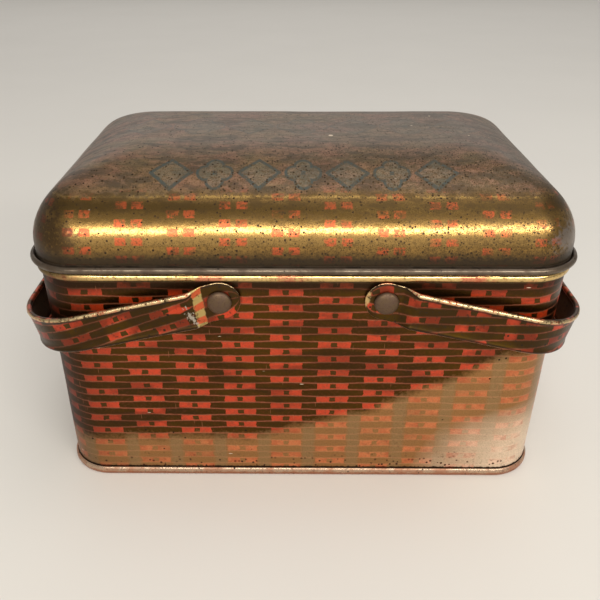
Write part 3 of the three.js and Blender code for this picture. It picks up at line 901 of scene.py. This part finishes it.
def lid_material():
    shader = Shader("printed_lid", LID_GOLD, 1.0, 0.17, coat=0.05, coat_rough=0.12)
    u, v = shader.print_place()
    front = u - GIRTH / 2
    broad = shader.cloud(22, 3, stretch=(1.5, 1, 1))
    patches = shader.cloud(9, 4, stretch=(1.6, 0.8, 1), shift=5)
    fine = shader.cloud(1.3, 4, shift=8)
    streaks = shader.cloud(5, 4, stretch=(2.8, 0.8, 1), shift=2)
    weave = Weave(shader, front, v, STRAND_X, 8.55, (4.7, 1.6), (0.9, ROW), 0.5)
    shader.over(broad.above(0.5, 0.3) * 0.5, LID_DEEP, 1.0, 0.24)
    # Above the front curve: browner lacquer in lengthwise streaks, partly painted dark reflection; then
    # a painted dark reflection band and a thin painted highlight line.
    brown = (v + (streaks - 0.5) * 9).above(20, 4)
    shader.over(brown * 0.62, LID_BROWN_AND_REFLECTION, 0.95, 0.3)
    # Painted dark reflection band across the front curve.
    dark_reflection_band = (abs(v - 20.5 + (fine - 0.5) * 3) / 2.4).below(0.8, 0.8)
    shader.over(dark_reflection_band * 0.6, LID_DARK_REFLECTION, 0.95, 0.32)
    # Painted highlight: a thin bright gold line above that band.
    line = abs(v - 24.2 + (fine - 0.5) * 1.2).below(0.45, 0.4)
    shader.over(line * 0.6, LID_HIGHLIGHT_LINE, 1.0, 0.26)
    # Painted dark reflection low on the lid, where the skirt faces the ground in front.
    shader.over(v.below(8 + (fine - 0.5) * 5, 5) * 0.4, LID_FOOT_REFLECTION, 1.0, 0.26)
    left = patches.below(0.6, 0.14) * fine.below(0.6, 0.18) * (0.85 - brown * 0.3)
    shader.over(weave.red * (1 - weave.square) * left, LID_RED, 0.6, 0.34)
    # Grey-brown patina where hands and shelves have rubbed the crown.
    crown = (v + (broad - 0.5) * 6 + (fine - 0.5) * 6).above(26, 4)
    shader.over(crown * 0.9, PATINA, 0.7, 0.4)
    shader.over(crown * weave.red * 0.22, PINK, 0.4, 0.44)
    shader.over(crown * patches.above(0.5, 0.14) * 0.6, PINK, 0.5, 0.44)
    shader.over(crown * broad.above(0.56, 0.1) * 0.45, (0.2, 0.14, 0.05), 0.8, 0.4)
    shader.over(crown * streaks.above(0.54, 0.1) * 0.7, (0.04, 0.03, 0.018), 0.5, 0.48)
    mottle = shader.cloud(2.4, 5, stretch=(1.5, 0.8, 1), shift=19, rough=0.7)
    shader.over(crown * mottle.above(0.53, 0.1) * 0.45, (0.06, 0.042, 0.026), 0.5, 0.46)
    shader.over(crown * mottle.below(0.43, 0.1) * 0.4, (0.3, 0.17, 0.1), 0.6, 0.4)
    # Generic ornament in dark ink.
    for middle, half_length, half_height, count, depth in ((-39, 53, 6, 7, 0.9), (1.5, 70, 10, 7, 0.5)):
        distance, bounds = ornament(shader.x, shader.y, middle, half_length, half_height, count)
        shown = bounds * (fine.below(0.66, 0.2) * depth) * shader.z.above(110, 1)
        shader.over(shown * distance.below(0, 0.3) * 0.4, srgb(104, 106, 90), 0.4, 0.44)
        shader.over(shown * abs(distance).below(0.5, 0.25), INK, 0.25, 0.46)
    # Black specks, thickest over the right of the front curve.
    dense = patches * 0.35 + (shader.x / 400 + 0.2)
    grain_band = v.above(14, 3) * v.below(27, 4)
    shader.over(shader.specks(0.9, 0.34, dense * 0.8), SOOT, 0.8, 0.5)
    shader.over(shader.specks(1.9, 0.15, dense * 0.4, shift=4), SOOT, 0.8, 0.5)
    blotch = shader.cloud(3.4, 4, stretch=(1.8, 0.8, 0.9), shift=23).above(0.57 - dense * 0.08, 0.06)
    shader.over(blotch * grain_band * 0.6, (0.075, 0.045, 0.016), 0.9, 0.36)
    grain = shader.cloud(0.4, 2, shift=13) + (fine - 0.5) * 0.5 + (shader.x / 1500)
    shader.over(grain.above(0.57, 0.1) * 0.65, (0.05, 0.03, 0.01), 0.8, 0.4)
    shader.over(grain.above(0.48, 0.3) * 0.35, (0.1, 0.058, 0.018))
    # Worn corners: dark at the left, bare grey at the right.
    for centre, reach, colour, rough in (
            ((-89, -50, 106), 15, (0.05, 0.028, 0.012), 0.42),
            ((88, -48, 103), 9, (0.2, 0.17, 0.15), 0.34)):
        away = [(axis - at) / reach for axis, at in zip((shader.x, shader.y, shader.z), centre)]
        near = away[0] * away[0] + away[1] * away[1] + away[2] * away[2]
        near = near + (patches - 0.5) * 2 + (fine - 0.5) * 2.5
        shader.over(near.below(0.6, 0.7) * 0.85, colour, 0.85, rough)
    # Painted shade in the crevice just above the rim curl.
    rim_crevice_shade = (v - (fine - 0.5) * 3).below(4.2, 4)
    shader.over(rim_crevice_shade * 0.92, (0.024, 0.015, 0.007), 0.7, 0.5)
    nicks = shader.specks(8, 0.06, 0.12, stretch=(1.3, 1.3, 0.5), shift=9, soft=0.03)
    shader.over(nicks, CREAM, 0.5, 0.4)
    height = shader.cloud(4, 3, shift=4) + fine * 0.25
    return shader.finish(height, 0.06)


def handle_material(name, shift, skew, chipped):
    """skew turns the print on the strap, which was cut from a larger printed sheet."""
    shader = Shader(name, GOLD_AND_DARK_REFLECTION, 1.0, 0.32, coat=0.06, coat_rough=0.16)
    u, v = shader.print_place()
    cos, sin = math.cos(math.radians(skew)), math.sin(math.radians(skew))
    weave = Weave(shader, u * cos - v * sin, u * sin + v * cos, shift, shift * 0.3)
    printed(shader, weave)
    fine = shader.cloud(1.2, 4, shift=6)
    broad = shader.cloud(12, 3, shift=1)
    shader.over(broad.above(0.45, 0.2) * 0.68, GRIME, 0.9, 0.42)
    # Bare metal along the rolled edges, with painted shade in the corner beside them.
    across = abs(v)
    edge = HANDLE_WIDTH / 2 - ROLL
    # Painted shade in the corner where the web meets the roll.
    shader.over((1 - abs(across - edge + 0.25) / 0.6).math("MAXIMUM", 0) * 0.9, SOOT, 0.8, 0.5)
    shader.over(across.above(edge + 0.1, 0.3) * 0.6, (0.07, 0.035, 0.012), 0.95, 0.32)
    red_left = shader.cloud(5, 3, shift=8).above(0.54, 0.06)
    shader.over(red_left * across.above(edge + 0.2, 0.3) * 0.8, (0.5, 0.08, 0.03), 0.6, 0.34)
    bare = 1 - abs(across - edge - 1.05 + (broad - 0.5) * 0.8) / 0.85
    bare = (bare * 2).math("MINIMUM", 1).math("MAXIMUM", 0) * fine.below(0.56, 0.16)
    shader.over(bare * 0.9, RUBBED, 1.0, 0.24)
    lower = abs(v + edge + 0.5 + (fine - 0.5) * 0.8).below(0.34, 0.2) * broad.above(0.42, 0.1)
    shader.over(lower * 0.75, (0.5, 0.36, 0.2), 1.0, 0.3)
    # Where the arm steps off the tab: a bright gold crease that is a painted highlight on the joggle's
    # ramp, then wear to chipped bare tin.
    if chipped:
        crease_highlight = abs(u - TAB_RADIUS - 7.6 + v * 0.12 + (fine - 0.5) * 1.6).below(1.85, 0.4)
        shader.over(crease_highlight * 0.95, (0.5, 0.36, 0.13), 1.0, 0.28)
        bands = abs((v / 4.6 + 0.3).math("FRACT") - 0.5).below(0.24, 0.08)
        shader.over(crease_highlight * bands * 0.85, RED, 0.5, 0.32)
        ramp = abs(u - TAB_RADIUS - 15) / 5.5 + abs(v - 3.4 + u * 0.06) / 1.5
        shader.over(ramp.below(0.9, 0.3) * 0.8, RED, 0.4, 0.34)
        away = abs(u - TAB_RADIUS - 11.6 - v * 0.3) / 2.2 + abs(v + 2) / 5.5
        chip = (away + (fine - 0.5) * 3.4 + (broad - 0.5) * 2).below(0.72, 0.3)
        shader.over(chip * 0.9, (0.42, 0.37, 0.3), 0.9, 0.34)
    else:
        rim = (u + abs(v) * 0.12).below(1.7, 0.5)
        shader.over(rim * fine.below(0.6, 0.2) * 0.9, (0.6, 0.42, 0.18), 1.0, 0.27)
    shader.over(fine.above(0.61, 0.07) * 0.6, (0.03, 0.018, 0.008), 0.8, 0.5)
    shader.over(shader.specks(1.8, 0.2, 0.1, shift=3), SOOT, 0.8, 0.5)
    return shader.finish(shader.cloud(3, 3, shift=4), 0.06)


def bare_material(name, colour, stain, stain_share, rough=0.4, metal=0.9, copper_and_shade_below=None):
    """copper_and_shade_below is the height in millimetres under which the tin is darker and copper
    toned, partly a copper tone and partly painted shade.
    """
    shader = Shader(name, colour, metal, rough)
    patches = shader.cloud(7, 4, shift=2)
    fine = shader.cloud(1.0, 4, shift=5)
    shader.over(patches.above(0.62 - stain_share, 0.14) * 0.75, stain, 0.5, 0.5)
    # Under that height: a copper tone with painted shade on the seam's lower, downward-facing half.
    if copper_and_shade_below is not None:
        height = shader.z + (shader.cloud(3, 3, shift=21) - 0.5) * 2
        shader.over(height.below(copper_and_shade_below, 0.8) * 0.8, COPPER_AND_SHADE)
    shader.over(fine.above(0.6, 0.08) * 0.5, RUST, 0.3, 0.6)
    shader.over(shader.specks(1.6, 0.25, 0.12, shift=1), SOOT, 0.2, 0.6)
    return shader.finish(shader.cloud(2.4, 3, shift=3), 0.05)


def rivet_material():
    shader = Shader("rivet_steel_worn", (0.115, 0.072, 0.04), 0.8, 0.45)
    patches = shader.cloud(2.6, 4, shift=2)
    shader.over(patches.above(0.5, 0.16) * 0.7, (0.09, 0.05, 0.03), 0.5, 0.55)
    shader.over(shader.cloud(0.7, 3, shift=4).above(0.6, 0.08) * 0.6, RUST, 0.3, 0.65)
    return shader.finish(shader.cloud(1.1, 3, shift=6), 0.05)


# ---- Stage, light and camera ----
def floor():
    reach = 30.0
    mesh = bpy.data.meshes.new("floor")
    mesh.from_pydata([(-reach, -reach, 0), (reach, -reach, 0), (reach, reach, 0), (-reach, reach, 0)],
                     [], [(0, 1, 2, 3)])
    shader = Shader("floor_paper", srgb(218, 214, 207), 0.0, 0.8)
    shader.over(shader.cloud(120, 2).above(0.5, 0.5) * 0.25, srgb(208, 204, 197))
    mesh.materials.append(shader.finish())
    ground = bpy.data.objects.new("floor", mesh)
    bpy.context.scene.collection.objects.link(ground)


def soft_light(name, place, target, size, power, colour=(1, 1, 1)):
    lamp = bpy.data.lights.new(name, "AREA")
    lamp.shape = "RECTANGLE"
    lamp.size, lamp.size_y = size
    lamp.energy = power
    lamp.color = colour
    holder = bpy.data.objects.new(name, lamp)
    holder.location = place
    holder.rotation_euler = (Vector(target) - Vector(place)).to_track_quat("-Z", "Y").to_euler()
    holder.visible_camera = False
    bpy.context.scene.collection.objects.link(holder)


def surroundings():
    world = bpy.data.worlds.new("studio")
    world.use_nodes = True
    background = world.node_tree.nodes["Background"]
    background.inputs["Color"].default_value = (1.0, 0.97, 0.93, 1)
    background.inputs["Strength"].default_value = 0.42
    bpy.context.scene.world = world
    dome_front = (0, -0.05, 0.105)
    # A long strip in front and above, which the lid's front curve mirrors as a bright band.
    soft_light("strip", (0.2, -0.95, 0.65), dome_front, (1.6, 0.13), 12, (1, 0.96, 0.88))
    soft_light("front", (0.1, -1.6, 0.6), dome_front, (2.0, 1.2), 6.3)
    soft_light("overhead", (0.25, -0.1, 1.3), (0, 0, 0), (1.1, 1.1), 5)
    soft_light("rear", (0, 1.5, 0.95), dome_front, (2.6, 1.2), 5)


def camera():
    yaw, pitch, roll = -0.01121, 0.52612, -0.00247
    ahead = Vector((math.sin(yaw) * math.cos(pitch), math.cos(yaw) * math.cos(pitch), -math.sin(pitch)))
    right = Vector((math.cos(yaw), -math.sin(yaw), 0))
    up = right.cross(ahead)
    side = right * math.cos(roll) + up * math.sin(roll)
    top = up * math.cos(roll) - right * math.sin(roll)
    lens = bpy.data.cameras.new("view")
    lens.sensor_width = 36
    lens.lens = 40.19
    lens.shift_x = 0.02425
    lens.clip_start = 0.01
    holder = bpy.data.objects.new("view", lens)
    turn = Matrix((side, top, -ahead)).transposed()
    holder.matrix_world = Matrix.Translation(Vector((-3.77, -258.82, 200.24)) * MM) @ turn.to_4x4()
    bpy.context.scene.collection.objects.link(holder)
    bpy.context.scene.camera = holder


camera()
surroundings()
floor()
bpy.context.scene.view_settings.view_transform = "Standard"

inside_tin = bare_material("inside_tin", srgb(168, 150, 118), srgb(120, 92, 58), 0.08)
under_tin = bare_material("under_tin", srgb(150, 140, 124), srgb(92, 64, 42), 0.12, 0.45)
seam_tin = bare_material("seam_tin", (0.45, 0.31, 0.21), (0.3, 0.12, 0.06), 0.1, 0.26,
                         metal=0.75, copper_and_shade_below=SEAM_HEIGHT / 2)
rim_tin = bare_material("rim_tin", (0.14, 0.108, 0.078), (0.05, 0.03, 0.016), 0.12, 0.28)
lining_tin = bare_material("lining_tin", (0.12, 0.07, 0.035), (0.06, 0.03, 0.015), 0.12, 0.38)
rivet_steel = rivet_material()

body_wall(wall_material(), inside_tin)
bottom_panel(seam_tin, under_tin)
lid_shell(lid_material(), rim_tin, inside_tin)
handle(-1, handle_material("printed_left_handle", 9, 7, True), lining_tin)
handle(1, handle_material("printed_right_handle", 21, -12, False), lining_tin)
for where, side in (("front", -1), ("back", 1)):
    for hand, x in (("left", -PIVOT_X), ("right", PIVOT_X)):
        rivet(where, hand, x, side, rivet_steel)
        burr(where, hand, x, side, inside_tin)
